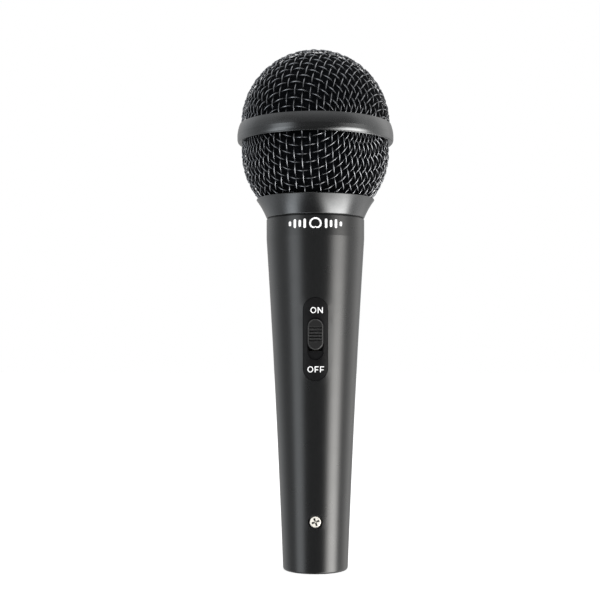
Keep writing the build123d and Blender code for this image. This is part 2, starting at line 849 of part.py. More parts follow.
with BuildPart() as switch_screws:
    with BuildSketch(switch_plane.offset(screw_face)):
        with Locations(*screw_places):
            Circle(small_screw_head_r)
    extrude(amount=-head_cone_height, taper=45)
    with BuildSketch(switch_plane.offset(screw_face - head_cone_height)):
        with Locations(*screw_places):
            Circle(small_screw_r)
    extrude(amount=-(small_screw_depth - head_cone_height))
    with BuildSketch(switch_plane.offset(screw_face)):
        with Locations(*screw_places):
            Rectangle(2 * small_screw_r, 0.4)
            Rectangle(0.4, 2 * small_screw_r)
    extrude(amount=-head_cone_height, mode=Mode.SUBTRACT)
switch_screws.part.label = "switch_screws"
export_step(switch_screws.part, "parts/switch_screws.step")

# ---------------------------------------------------------------------------------------------
# Plug insert
# ---------------------------------------------------------------------------------------------

with BuildPart() as connector_shell:
    with BuildSketch(Plane.XY.offset(insert_bottom_z)):
        Circle(insert_r)
        Circle(insert_bore_r, mode=Mode.SUBTRACT)
    extrude(amount=insert_top_z - insert_bottom_z)
    chamfer(connector_shell.edges().filter_by(GeomType.CIRCLE).group_by(Axis.Z)[0], edge_break)
    # Key rib on the switch's side, latch window on the far side
    with BuildSketch(Plane.XY.offset(insert_bottom_z + 1)):
        with Locations((0, -insert_bore_r + key_height / 2 - edge_break)):
            Rectangle(key_width, key_height + 2 * edge_break)
    extrude(amount=key_top_z - insert_bottom_z - 1)
    with BuildSketch(Plane.XZ.offset(-insert_bore_r + 1)):
        with Locations((0, latch_z)):
            RectangleRounded(latch_width, latch_height, 0.5)
    extrude(amount=-(insert_r - insert_bore_r + 2), mode=Mode.SUBTRACT)
    with BuildSketch(Plane.XZ.offset(insert_bore_r - 1)):
        with Locations((0, screw_z)):
            Circle(screw_shank_r + seat_gap)
    extrude(amount=insert_r - insert_bore_r + 2, mode=Mode.SUBTRACT)
connector_shell.part.label = "connector_shell"
export_step(connector_shell.part, "parts/connector_shell.step")

pin_places = [
    (pin_circle_r * math.cos(math.radians(angle)), pin_circle_r * math.sin(math.radians(angle)))
    for angle in pin_angles
]

with BuildPart() as connector_insulator:
    with BuildSketch(Plane.XY.offset(insulator_bottom_z)):
        Circle(insert_bore_r - seat_gap)
        with Locations(*pin_places):
            Circle(pin_shoulder_r + seat_gap, mode=Mode.SUBTRACT)
    extrude(amount=insert_top_z - insulator_bottom_z)
    with BuildSketch(Plane.XZ.offset(screw_tip_r - seat_gap)):
        with Locations((0, screw_z)):
            Circle(screw_shank_r + seat_gap)
    extrude(amount=insert_bore_r, mode=Mode.SUBTRACT)
connector_insulator.part.label = "connector_insulator"
export_step(connector_insulator.part, "parts/connector_insulator.step")

# A slim contact with a rounded tip, and a thicker root that sits in the insulator
for number, place in enumerate(pin_places, start=1):
    with BuildPart() as contact_pin:
        with BuildSketch(Plane.XY.offset(pin_tip_z)):
            with Locations(place):
                Circle(pin_r)
        extrude(amount=insulator_bottom_z + seat_gap - pin_tip_z)
        fillet(contact_pin.edges().filter_by(GeomType.CIRCLE).group_by(Axis.Z)[0], pin_r / 2)
        with BuildSketch(Plane.XY.offset(insulator_bottom_z + seat_gap)):
            with Locations(place):
                Circle(pin_shoulder_r)
        extrude(amount=pin_rear_z - insulator_bottom_z - seat_gap)
        with BuildSketch(Plane.XY.offset(pin_rear_z)):
            with Locations(place):
                Circle(cup_r)
        extrude(amount=-cup_depth, mode=Mode.SUBTRACT)
    contact_pin.part.label = f"contact_pin_{number}"
    export_step(contact_pin.part, f"parts/contact_pin_{number}.step")

# The clip lies across the insulator and the shell, with a tab for pin 1's lead
clip_angle = 138.0
tab_r = 6.9
clip_foot_z = insert_top_z + seat_gap
clip_plane = Plane(
    origin=(0, 0, clip_foot_z),
    x_dir=(math.cos(math.radians(clip_angle)), math.sin(math.radians(clip_angle)), 0),
    z_dir=(0, 0, 1),
)
tab_top_z = 22.7

with BuildPart() as ground_clip:
    with BuildSketch(clip_plane):
        with Locations((insert_r - edge_break - clip_reach / 2, 0)):
            Rectangle(clip_reach, clip_width)
    extrude(amount=clip_sheet)
    with BuildSketch(clip_plane):
        with Locations((tab_r, 0)):
            Rectangle(tab_width / 2, tab_width)
    extrude(amount=tab_top_z - seat_gap / 2 - clip_foot_z)
ground_clip.part.label = "ground_clip"
export_step(ground_clip.part, "parts/ground_clip.step")

head_seat = insert_r + seat_gap
head_face = head_seat + screw_head_height

with BuildPart() as connector_screw:
    with BuildSketch(Plane.XZ.offset(head_seat)):
        with Locations((0, screw_z)):
            Circle(screw_head_r)
    extrude(amount=screw_head_height)
    fillet(connector_screw.edges().filter_by(GeomType.CIRCLE).sort_by(Axis.Y)[0], 0.45)
    with BuildSketch(Plane.XZ.offset(head_seat)):
        with Locations((0, screw_z)):
            Circle(screw_shank_r)
    extrude(amount=-(head_seat - screw_tip_r))
    with BuildSketch(Plane.XZ.offset(head_face)):
        with Locations((0, screw_z)):
            Rectangle(recess_length, recess_width, rotation=20)
            Rectangle(recess_width, recess_length, rotation=20)
    extrude(amount=-recess_depth, mode=Mode.SUBTRACT)
connector_screw.part.label = "connector_screw"
export_step(connector_screw.part, "parts/connector_screw.step")

# ---------------------------------------------------------------------------------------------
# Leads, held inside the handle from end to end
# ---------------------------------------------------------------------------------------------

# Where a lead starts or ends: under a solder lug, behind a switch tail, in a pin's solder cup
lead_gap = fit_gap
lug_hot = (lug_spacing / 2, 0, lug_tip_z - lead_gap)
lug_cold = (-lug_spacing / 2, 0, lug_tip_z - lead_gap)
tail_ends = [
    tuple(switch_plane.from_local_coords((x, y, -tail_depth - lead_gap))) for x, y in terminal_places
]
tail_middle = tail_ends[1]
tail_high = tail_ends[2]
cup_floor_z = pin_rear_z - cup_depth + lead_gap
cup_1, cup_2, cup_3 = [(x, y, cup_floor_z) for x, y in pin_places]
tab_point = tuple(clip_plane.from_local_coords((tab_r, 0, tab_top_z - clip_foot_z)))


def corner_radii(points):
    """Fillet radius at each inner point: a share of its shorter run over the tangent of half its turn."""
    radii = []
    for before, corner, after in zip(points, points[1:], points[2:]):
        arriving = Vector(*corner) - Vector(*before)
        leaving = Vector(*after) - Vector(*corner)
        half_turn = math.radians(arriving.get_angle(leaving) / 2)
        shorter_run = min(arriving.length, leaving.length)
        radii.append(lead_run_share * shorter_run / math.tan(half_turn))
    return radii


def export_lead(name, points):
    """A round lead along straight runs joined by tangent arcs."""
    radii = corner_radii(points)
    with BuildPart() as lead:
        with BuildLine() as route:
            FilletPolyline(*points, radius=radii)
        with BuildSketch(Plane(origin=route.wire() @ 0, z_dir=route.wire() % 0)):
            Circle(lead_r)
        sweep()
    lead.part.label = name
    export_step(lead.part, f"parts/{name}.step")
    expected = math.pi * lead_r**2 * route.wire().length
    print(name, "radii", [round(radius, 1) for radius in radii])
    print(name, "volume", round(lead.part.volume, 2), "section times length", round(expected, 2))


export_lead(
    "capsule_lead_hot",
    [
        lug_hot,
        (3.3, 0.5, 96.0),
        (2.9, 2.6, 91.7),
        (1.7, 4.7, 88.2),
        (0.7, 4.9, 84.9),
        (0.1, 1.9, 82.3),
        tail_high,
    ],
)
export_lead(
    "capsule_lead_cold",
    [
        lug_cold,
        (-3.3, 0.9, 94.0),
        (-4.7, 3.6, 86.0),
        (-4.9, 5.4, 75.5),
        (-3.2, 5.0, 64.0),
        (-2.0, 6.3, 52.0),
        (-0.9, 4.7, 40.5),
        (0.0, 4.4, 31.0),
        cup_3,
    ],
)
export_lead(
    "switch_lead_hot",
    [
        tail_middle,
        (0.2, 1.5, 78.6),
        (0.7, 4.2, 76.4),
        (1.4, 4.9, 72.0),
        (2.7, 3.6, 63.5),
        (1.5, 2.3, 51.5),
        (3.3, 0.6, 40.0),
        (3.81, -2.2, 31.0),
        cup_2,
    ],
)
loop_top_z = 29.4
export_lead(
    "ground_lead",
    [
        cup_1,
        (cup_1[0], cup_1[1], loop_top_z),
        (tab_point[0], tab_point[1], loop_top_z),
        tab_point,
    ],
)
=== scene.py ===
import math

import bmesh
import bpy
from mathutils import Matrix, Vector, noise
from mathutils.bvhtree import BVHTree


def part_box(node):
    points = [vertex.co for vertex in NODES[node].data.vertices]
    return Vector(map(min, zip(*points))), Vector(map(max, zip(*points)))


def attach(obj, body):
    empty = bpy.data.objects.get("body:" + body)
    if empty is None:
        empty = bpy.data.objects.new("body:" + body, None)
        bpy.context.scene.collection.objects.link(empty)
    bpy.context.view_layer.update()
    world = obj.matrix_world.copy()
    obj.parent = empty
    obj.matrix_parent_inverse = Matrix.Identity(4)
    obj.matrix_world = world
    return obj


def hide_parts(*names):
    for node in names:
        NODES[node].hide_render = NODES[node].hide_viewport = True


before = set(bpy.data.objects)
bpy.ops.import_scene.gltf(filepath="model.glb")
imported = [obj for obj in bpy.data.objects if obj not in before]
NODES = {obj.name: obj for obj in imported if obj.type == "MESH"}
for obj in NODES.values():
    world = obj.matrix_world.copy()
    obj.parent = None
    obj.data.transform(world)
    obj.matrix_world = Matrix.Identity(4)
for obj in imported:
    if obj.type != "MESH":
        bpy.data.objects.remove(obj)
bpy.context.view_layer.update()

# The looks of a handheld dynamic microphone: woven wire ball, foam lining, satin paint, printed marks.
# Lengths are metres, in the CAD frame: +Z runs up the handle, -Y is the switch's side.

MM = 0.001


# ---------------------------------------------------------------------------------------------
# Mesh helpers
# ---------------------------------------------------------------------------------------------

def mesh_object(name, verts, faces, material, smooth=True):
    """A linked mesh object with one material."""
    mesh = bpy.data.meshes.new(name)
    mesh.from_pydata(verts, [], faces)
    mesh.validate()
    mesh.materials.append(material)
    for polygon in mesh.polygons:
        polygon.use_smooth = smooth
    obj = bpy.data.objects.new(name, mesh)
    bpy.context.scene.collection.objects.link(obj)
    return obj


def add_tube(verts, faces, path, normals, radius, sides):
    """A capped round tube along path; normals keep its rings from twisting."""
    base = len(verts)
    last = len(path) - 1
    for k, point in enumerate(path):
        along = (path[min(k + 1, last)] - path[max(k - 1, 0)]).normalized()
        across = along.cross(normals[k]).normalized()
        out = across.cross(along)
        for side in range(sides):
            angle = 2 * math.pi * side / sides
            verts.append(point + radius * (math.cos(angle) * out + math.sin(angle) * across))
    for k in range(last):
        for side in range(sides):
            after = (side + 1) % sides
            a = base + k * sides
            b = a + sides
            faces.append((a + side, a + after, b + after, b + side))
    faces.append(tuple(base + side for side in reversed(range(sides))))
    faces.append(tuple(base + last * sides + side for side in range(sides)))


# ---------------------------------------------------------------------------------------------
# Materials
# ---------------------------------------------------------------------------------------------

class Tree:
    """Short calls for building a node tree."""

    def __init__(self, owner):
        owner.use_nodes = True
        self.tree = owner.node_tree

    def add(self, kind, **settings):
        """A new node; settings name its properties or, with underscores for spaces, its inputs."""
        node = self.tree.nodes.new(kind)
        for key, value in settings.items():
            socket = node.inputs.get(key.replace("_", " "))
            if socket is None:
                setattr(node, key, value)
            elif isinstance(value, bpy.types.NodeSocket):
                self.link(value, socket)
            else:
                socket.default_value = value
        return node

    def link(self, source, target):
        self.tree.links.new(source, target)

    def math(self, operation, first, second=0.0):
        """One operation on two values, each a number or a socket."""
        node = self.tree.nodes.new("ShaderNodeMath")
        node.operation = operation
        for socket, value in zip(node.inputs, (first, second)):
            if isinstance(value, bpy.types.NodeSocket):
                self.link(value, socket)
            else:
                socket.default_value = value
        return node.outputs[0]

    def spread(self, value, low, high, start=0.3, end=0.7, kind="LINEAR"):
        """Maps value's range start to end onto low to high."""
        node = self.add(
            "ShaderNodeMapRange", interpolation_type=kind, Value=value,
            From_Min=start, From_Max=end, To_Min=low, To_Max=high,
        )
        return node.outputs["Result"]

    def by_elevation(self, rise, stops):
        """A level that follows elevation through (degrees, level) stops; rise is its sine."""
        highest = max(level for _, level in stops)
        node = self.add("ShaderNodeValToRGB", Fac=self.spread(rise, 0.0, 1.0, -1.0, 1.0))
        ramp = node.color_ramp
        while len(ramp.elements) < len(stops):
            ramp.elements.new(0.5)
        for element, (degrees, level) in zip(ramp.elements, stops):
            share = level / highest
            element.position = 0.5 + 0.5 * math.sin(math.radians(degrees))
            element.color = (share, share, share, 1)
        return self.math("MULTIPLY", node.outputs["Color"], highest)


class Material(Tree):
    """A material's node tree, with its main shader."""

    def __init__(self, name):
        self.material = bpy.data.materials.new(name)
        super().__init__(self.material)
        self.shader = self.tree.nodes["Principled BSDF"]

    def set(self, **values):
        """Sets shader sockets; an underscore stands for a space."""
        for key, value in values.items():
            self.shader.inputs[key.replace("_", " ")].default_value = value

    def place(self):
        """The point's own place in the object, in metres."""
        return self.add("ShaderNodeTexCoord").outputs["Object"]

    def noise(self, scale, detail=3.0):
        """Cloudy noise; scale counts its clouds per metre."""
        node = self.add("ShaderNodeTexNoise", Scale=scale, Detail=detail, Vector=self.place())
        return node.outputs["Fac"]

    def colour(self, value, low, high, start=0.3, end=0.7):
        """Colours the surface between two tones by a pattern's value."""
        node = self.add("ShaderNodeValToRGB", Fac=value)
        node.color_ramp.elements[0].position = start
        node.color_ramp.elements[0].color = (*low, 1)
        node.color_ramp.elements[1].position = end
        node.color_ramp.elements[1].color = (*high, 1)
        self.link(node.outputs["Color"], self.shader.inputs["Base Color"])

    def gloss(self, value, low, high):
        """Varies the roughness by a pattern's value."""
        self.link(self.spread(value, low, high), self.shader.inputs["Roughness"])

    def shelter(self, reach):
        """1 in the open, falling towards 0 in corners and grooves narrower than the reach."""
        return self.add("ShaderNodeAmbientOcclusion", Distance=reach).outputs["AO"]

    def sharpness(self, reach):
        """1 on sharp edges, 0 on faces."""
        rounded = self.add("ShaderNodeBevel", Radius=reach).outputs["Normal"]
        flat = self.add("ShaderNodeNewGeometry").outputs["Normal"]
        node = self.add("ShaderNodeVectorMath", operation="DOT_PRODUCT")
        self.link(rounded, node.inputs[0])
        self.link(flat, node.inputs[1])
        return self.spread(node.outputs["Value"], 1.0, 0.0, 0.8, 0.98)

    def bump(self, height, distance, strength=1.0):
        """Relief from a pattern's value, distance deep."""
        node = self.add("ShaderNodeBump", Strength=strength, Distance=distance, Height=height)
        self.link(node.outputs["Normal"], self.shader.inputs["Normal"])


def satin_paint(name, dark, light, roughness, metallic):
    """Sprayed satin enamel: fine orange peel, faint mottling, and painted shade: ambient occlusion dims its
    gloss in narrow gaps.
    """
    m = Material(name)
    # Ambient occlusion dims the gloss in gaps: painted shade.
    shaded_shine = m.spread(m.shelter(0.9 * MM), 0.02, 0.5, 0.35, 0.75)
    m.link(shaded_shine, m.shader.inputs["Specular IOR Level"])
    m.colour(m.noise(900, 4.0), dark, light)
    m.gloss(m.noise(160, 5.0), roughness - 0.01, roughness + 0.015)
    m.bump(m.noise(2600, 2.0), 0.004 * MM, 0.3)
    m.set(Metallic=metallic)
    return m.material


def crown_lit_wire(name, dark, bright, roughness):
    """Dark coated wire with painted light where it rises over the wire that it crosses, and painted shade
    where it dips under.
    """
    m = Material(name)
    crown = m.add("ShaderNodeAttribute", attribute_name="crown").outputs["Fac"]
    # The crowns get painted light, and the dips under a crossing wire get painted shade.
    crown_light = m.math("ADD", crown, m.spread(m.noise(700, 3.0), -0.15, 0.15))
    m.colour(crown_light, dark, bright, 0.3, 0.75)
    m.gloss(m.noise(1500, 3.0), roughness - 0.03, roughness + 0.05)
    m.bump(m.noise(3000, 2.0), 0.006 * MM, 0.3)
    m.set(Metallic=1.0)
    return m.material


def moulded_plastic(name, dark, light, roughness, specular=0.5):
    """Moulded plastic with a fine spark-eroded grain, and painted shade: ambient occlusion dims its gloss
    beside whatever stands on it.
    """
    m = Material(name)
    m.colour(m.noise(500, 4.0), dark, light)
    m.gloss(m.noise(1200, 3.0), roughness - 0.05, roughness + 0.06)
    m.bump(m.noise(3200, 2.0), 0.02 * MM, 0.6)
    # Ambient occlusion dims the gloss beside raised parts: painted shade.
    shaded_shine = m.spread(m.shelter(1.1 * MM), 0.2 * specular, specular, 0.45, 0.9)
    m.link(shaded_shine, m.shader.inputs["Specular IOR Level"])
    return m.material


def edge_lit_plastic(name, groove, face, edge_light, roughness):
    """Plastic with a painted highlight along its sharp edges and painted shade in its grooves, both from
    ambient occlusion; tones are greys.
    """
    m = Material(name)
    open_face = m.math("ADD", m.shelter(0.8 * MM), m.spread(m.noise(900, 4.0), -0.06, 0.06))
    # Ambient occlusion darkens the grooves: painted shade.
    tone = m.spread(open_face, groove, face, 0.45, 0.95)
    # Sharp edges in the open get a painted highlight.
    edge_highlight = m.math("MULTIPLY", m.sharpness(0.2 * MM), m.spread(open_face, 0.0, edge_light, 0.45, 0.95))
    shaded_shine = m.spread(open_face, 0.1, 0.5, 0.45, 0.95)
    m.link(shaded_shine, m.shader.inputs["Specular IOR Level"])
    m.link(m.math("ADD", tone, edge_highlight), m.shader.inputs["Base Color"])
    m.gloss(m.noise(1200, 3.0), roughness - 0.04, roughness + 0.05)
    m.bump(m.noise(3200, 2.0), 0.01 * MM, 0.4)
    return m.material


def recess_shaded_metal(name, recess_shade, light, roughness, metallic):
    """A plated screw with painted shade in its recess and round its edge, from ambient occlusion."""
    m = Material(name)
    open_face = m.math("ADD", m.shelter(0.9 * MM), m.spread(m.noise(1100, 4.0), -0.08, 0.08))
    # Ambient occlusion darkens the recess and the gap round the head: painted shade.
    m.colour(open_face, recess_shade, light, 0.45, 0.7)
    m.gloss(m.noise(1500, 4.0), roughness - 0.05, roughness + 0.1)
    m.bump(m.noise(4000, 2.0), 0.006 * MM, 0.4)
    m.set(Metallic=metallic)
    return m.material


def plated_metal(name, dark, light, roughness):
    """Plated or turned metal with faint tarnish."""
    m = Material(name)
    m.colour(m.noise(700, 5.0), dark, light)
    m.gloss(m.noise(1500, 4.0), roughness - 0.05, roughness + 0.1)
    m.bump(m.noise(4000, 2.0), 0.006 * MM, 0.4)
    m.set(Metallic=1.0)
    return m.material


def open_cell_foam(name, dark, light):
    """Open-cell foam: cells as small dark pits."""
    m = Material(name)
    cells = m.add("ShaderNodeTexVoronoi", Scale=1500, Vector=m.place()).outputs["Distance"]
    m.colour(cells, light, dark, 0.1, 0.6)
    m.bump(cells, 0.2 * MM, 0.8)
    m.set(Roughness=0.95, Specular_IOR_Level=0.04)
    return m.material


def woven_cloth(name, dark, light):
    """Plain acoustic cloth with fine ribs."""
    m = Material(name)
    ribs = m.add("ShaderNodeTexWave", Scale=900, Vector=m.place()).outputs["Fac"]
    m.colour(ribs, dark, light)
    m.bump(ribs, 0.03 * MM)
    m.set(Roughness=0.9, Sheen_Weight=0.3)
    return m.material


def printing_ink(name):
    """Opaque white screen-printing ink, a little uneven."""
    m = Material(name)
    m.colour(m.noise(1500, 3.0), (0.86, 0.86, 0.86), (0.95, 0.95, 0.95))
    m.bump(m.noise(3000, 2.0), 0.01 * MM, 0.4)
    m.set(Roughness=0.45)
    return m.material


PAINT = satin_paint("handle_satin_paint", (0.0064, 0.0067, 0.0070), (0.0078, 0.0081, 0.0084), 0.28, 0.0)
TRIM = satin_paint("trim_satin_paint", (0.086, 0.088, 0.090), (0.094, 0.096, 0.098), 0.26, 1.0)
WIRE = crown_lit_wire("grille_wire_coat", (0.025, 0.026, 0.029), (0.21, 0.216, 0.228), 0.25)
FOAM = open_cell_foam("black_foam", (0.0012, 0.0014, 0.0018), (0.004, 0.0045, 0.006))
FELT = open_cell_foam("grey_felt", (0.10, 0.095, 0.085), (0.30, 0.28, 0.25))
PLATE = moulded_plastic("plate_black", (0.0045, 0.0045, 0.005), (0.0065, 0.0065, 0.007), 0.34, 0.25)
BUTTON = edge_lit_plastic("button_charcoal", 0.002, 0.013, 0.11, 0.3)
NICKEL = recess_shaded_metal("screw_nickel", (0.010, 0.008, 0.006), (0.90, 0.87, 0.79), 0.35, 0.3)
STEEL = plated_metal("zinc_steel", (0.42, 0.43, 0.45), (0.55, 0.56, 0.58), 0.34)
# The switch frame's steel is near black: painted shade for the floor of the switch slot.
SLOT_SHADE_STEEL = satin_paint("black_steel", (0.014, 0.014, 0.015), (0.020, 0.020, 0.021), 0.4, 0.2)
CONTACT = plated_metal("contact_plate", (0.72, 0.66, 0.50), (0.82, 0.78, 0.64), 0.22)
SHELL = plated_metal("insert_zinc", (0.50, 0.50, 0.50), (0.62, 0.62, 0.62), 0.3)
COVER = plated_metal("cover_aluminium", (0.5, 0.5, 0.51), (0.62, 0.62, 0.63), 0.38)
COPPER = plated_metal("coil_copper", (0.55, 0.22, 0.11), (0.75, 0.36, 0.20), 0.25)
BLACK = moulded_plastic("cartridge_black", (0.012, 0.012, 0.013), (0.020, 0.020, 0.021), 0.45)
BOARD = moulded_plastic("board_brown", (0.16, 0.075, 0.03), (0.26, 0.13, 0.06), 0.5)
FILM = moulded_plastic("diaphragm_film", (0.42, 0.38, 0.28), (0.55, 0.50, 0.38), 0.18)
RUBBER = moulded_plastic("mount_rubber", (0.010, 0.010, 0.010), (0.018, 0.018, 0.018), 0.75)
RED = moulded_plastic("lead_red", (0.35, 0.015, 0.012), (0.45, 0.03, 0.02), 0.4)
WHITE = moulded_plastic("lead_white", (0.6, 0.58, 0.52), (0.72, 0.70, 0.65), 0.4)
GREEN = moulded_plastic("lead_green", (0.02, 0.15, 0.03), (0.04, 0.22, 0.05), 0.4)
CLOTH = woven_cloth("front_cloth", (0.02, 0.02, 0.022), (0.06, 0.06, 0.065))
INK = printing_ink("white_ink")

NODE_MATERIALS = {
    "handle_body": PAINT,
    "equator_band": TRIM,
    "grille_collar": TRIM,
    "switch_plate": PLATE,
    "switch_button": BUTTON,
    "switch_slider": BLACK,
    "switch_frame": SLOT_SHADE_STEEL,
    "switch_base": BLACK,
    "switch_terminals": CONTACT,
    "contact_bridge": CONTACT,
    "switch_screws": NICKEL,
    "connector_screw": NICKEL,
    "connector_shell": SHELL,
    "connector_insulator": BLACK,
    "contact_pin_1": CONTACT,
    "contact_pin_2": CONTACT,
    "contact_pin_3": CONTACT,
    "ground_clip": CONTACT,
    "solder_terminals": CONTACT,
    "terminal_board": BOARD,
    "cartridge_cover": COVER,
    "cartridge_frame": BLACK,
    "rear_chamber": BLACK,
    "shock_mount": RUBBER,
    "front_cloth": CLOTH,
    "chamber_felt": FELT,
    "diaphragm": FILM,
    "voice_coil": COPPER,
    "magnet": STEEL,
    "pole_piece": STEEL,
    "top_plate": STEEL,
    "yoke_cup": STEEL,
    "capsule_lead_hot": RED,
    "switch_lead_hot": RED,
    "capsule_lead_cold": WHITE,
    "ground_lead": GREEN,
}


def dress_cad_nodes():
    """Gives each shown CAD node its own finish."""
    for name, material in NODE_MATERIALS.items():
        obj = NODES[name]
        obj.data.materials.clear()
        obj.data.materials.append(material)


# ---------------------------------------------------------------------------------------------
# Woven ball grille: square wire cloth pressed over a sphere
# ---------------------------------------------------------------------------------------------

WIRE_R = 0.17 * MM
WIRE_SWING = 0.25 * MM
WIRE_SIDES = 8
STEPS_PER_CELL = 6
CELLS_OUT = 18

# The cloth's two pitches on each half, and its turn about the handle's axis in degrees
DOME_PITCH = (2.87 * MM, 2.65 * MM)
DOME_TURN = 70.7
DOME_TILT = 1.3
BOWL_PITCH = (2.67 * MM, 2.62 * MM)
BOWL_TURN = 79.8
# The bowl's radius where it meets the collar, and how far its wire stands out past its CAD shell
BOWL_FOOT_R = 17.9 * MM
BOWL_PROUD = 0.2 * MM
# How far the threads stop short of their CAD shell's ends
DOME_FOOT_TRIM = 0.3 * MM
BOWL_FOOT_TRIM = 0.1 * MM
BOWL_TOP_TRIM = 0.3 * MM


def cloth_net(pitch_i, pitch_j, shift_j):
    """Crossings of wire cloth laid on a unit sphere, by (i, j), with its pole at +Z.

    Two lines through the pole follow great circles.  The cloth's threads don't stretch, so each
    cell is a parallelogram: its fourth corner is its first, turned half round the cell's middle.
    The net is laid out at half a pitch; shift_j of 1 puts the pole midway between two threads.
    """
    half_cells = 2 * CELLS_OUT + 1
    points = {}
    for k in range(-half_cells, half_cells + 1):
        along_i = k * pitch_i / 2
        along_j = k * pitch_j / 2
        points[(k, 0)] = Vector((math.sin(along_i), 0, math.cos(along_i)))
        points[(0, k)] = Vector((0, math.sin(along_j), math.cos(along_j)))
    for side_i in (1, -1):
        for side_j in (1, -1):
            for i in range(1, half_cells + 1):
                for j in range(1, half_cells + 1):
                    first = points[((i - 1) * side_i, (j - 1) * side_j)]
                    second = points[(i * side_i, (j - 1) * side_j)]
                    third = points[((i - 1) * side_i, j * side_j)]
                    middle = second + third
                    middle.normalize()
                    points[(i * side_i, j * side_j)] = 2 * middle.dot(first) * middle - first
    reach = range(-CELLS_OUT, CELLS_OUT + 1)
    return {(i, j): points[(2 * i, 2 * j + shift_j)] for i in reach for j in reach}


def smooth_between(before, start, end, after, t):
    """A point of the smooth curve through four crossings, back on the unit sphere."""
    a = 2 * start
    b = end - before
    c = 2 * before - 5 * start + 4 * end - after
    d = 3 * start - before - 3 * end + after
    return (0.5 * (a + b * t + c * t * t + d * t * t * t)).normalized()


def thread_points(points, fixed, along_i):
    """One thread's directions from the ball's centre, each with its wave: 1 over, -1 under."""
    def crossing(k):
        k = max(-CELLS_OUT, min(CELLS_OUT, k))
        return points[(k, fixed)] if along_i else points[(fixed, k)]

    steps = []
    for k in range(-CELLS_OUT, CELLS_OUT):
        over = 1 if ((k + fixed) % 2 == 0) == along_i else -1
        for part in range(STEPS_PER_CELL):
            t = part / STEPS_PER_CELL
            direction = smooth_between(crossing(k - 1), crossing(k), crossing(k + 1), crossing(k + 2), t)
            steps.append((direction, over * math.cos(math.pi * t)))
    return steps


def woven_half(name, ball_r, centre_z, low_z, high_z, net, place):
    """Half of the ball: threads trimmed between two heights, hidden in the trim that holds them."""
    middle_r = ball_r - WIRE_R - WIRE_SWING
    centre = Vector((0, 0, centre_z))
    verts = []
    faces = []
    crowns = []
    for along_i in (True, False):
        for fixed in range(-CELLS_OUT, CELLS_OUT + 1):
            run = []
            # The closing None ends the thread's last run
            for direction, wave in [*thread_points(net, fixed, along_i), (None, 0)]:
                if direction is not None:
                    outward = place @ direction
                    point = centre + (middle_r + wave * WIRE_SWING) * outward
                    if low_z <= point.z <= high_z:
                        run.append((point, outward, wave))
                        continue
                if len(run) > 2:
                    path, normals, waves = zip(*run)
                    add_tube(verts, faces, path, normals, WIRE_R, WIRE_SIDES)
                    crowns += [0.5 + 0.5 * wave for wave in waves for _ in range(WIRE_SIDES)]
                run = []
    half = mesh_object(name, verts, faces, WIRE)
    half.data.attributes.new("crown", "FLOAT", "POINT").data.foreach_set("value", crowns)
    return half


def build_grille():
    """Both woven halves, from the sizes of their CAD shells."""
    dome_low, dome_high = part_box("upper_mesh")
    bowl_low, bowl_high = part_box("lower_mesh")
    dome_r = dome_high.x
    bowl_r = bowl_high.x
    bowl_centre_z = bowl_low.z + math.sqrt(bowl_r**2 - BOWL_FOOT_R**2)
    # The dome is pressed deeper than the bowl, so its cells are drawn out more
    dome = woven_half(
        "woven_dome", dome_r, dome_high.z - dome_r, dome_low.z + DOME_FOOT_TRIM, dome_high.z,
        cloth_net(*[pitch / dome_r for pitch in DOME_PITCH], 1),
        Matrix.Rotation(math.radians(DOME_TILT), 3, "X") @ Matrix.Rotation(math.radians(DOME_TURN), 3, "Z"),
    )
    bowl = woven_half(
        "woven_bowl", bowl_r + BOWL_PROUD, bowl_centre_z,
        bowl_low.z + BOWL_FOOT_TRIM, bowl_high.z - BOWL_TOP_TRIM,
        cloth_net(*[pitch / bowl_r for pitch in BOWL_PITCH], 0),
        Matrix.Rotation(math.radians(BOWL_TURN), 3, "Z") @ Matrix.Rotation(math.pi, 3, "X"),
    )
    for piece, node in ((dome, "upper_mesh"), (bowl, "lower_mesh")):
        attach(piece, "grille_head")
        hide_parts(node)


# ---------------------------------------------------------------------------------------------
# Foam lining
# ---------------------------------------------------------------------------------------------

FOAM_WALL = 2.2 * MM
FOAM_BOWL_CENTRE = 141.45 * MM
# Points round each ring, and rings up the outer face
FOAM_AROUND = 180
FOAM_RINGS = 48
PIT_DEPTH = 0.12 * MM
# Pits per metre, coarse and fine, and the radius within which they fade out at the top
COARSE_PITS = 900
FINE_PITS = 2000
PIT_FADE_R = 3 * MM
# How far the bowl's skirt stops below the collar's top
SKIRT_DROP = 0.2 * MM


def foam_shell(name, profile, material):
    """A closed shell turned from a profile, its skin pitted like open-cell foam."""
    verts = []
    for radius, height in profile:
        for k in range(FOAM_AROUND):
            angle = 2 * math.pi * k / FOAM_AROUND
            point = Vector((radius * math.cos(angle), radius * math.sin(angle), height))
            pits = noise.noise(point * COARSE_PITS) + 0.5 * noise.noise(point * FINE_PITS)
            shrink = PIT_DEPTH * (1 + pits) * min(1, radius / PIT_FADE_R)
            verts.append(point - shrink * Vector((math.cos(angle), math.sin(angle), 0)))
    rows = len(profile)
    faces = []
    for row in range(rows):
        below = row * FOAM_AROUND
        above = ((row + 1) % rows) * FOAM_AROUND
        for k in range(FOAM_AROUND):
            after = (k + 1) % FOAM_AROUND
            faces.append((below + k, below + after, above + after, above + k))
    return mesh_object(name, verts, faces, material)


def arc_points(radius, centre_z, start, end, count):
    """Points of a sphere's profile between two angles above its equator."""
    angles = [start + (end - start) * k / (count - 1) for k in range(count)]
    return [(radius * math.cos(a), centre_z + radius * math.sin(a)) for a in angles]


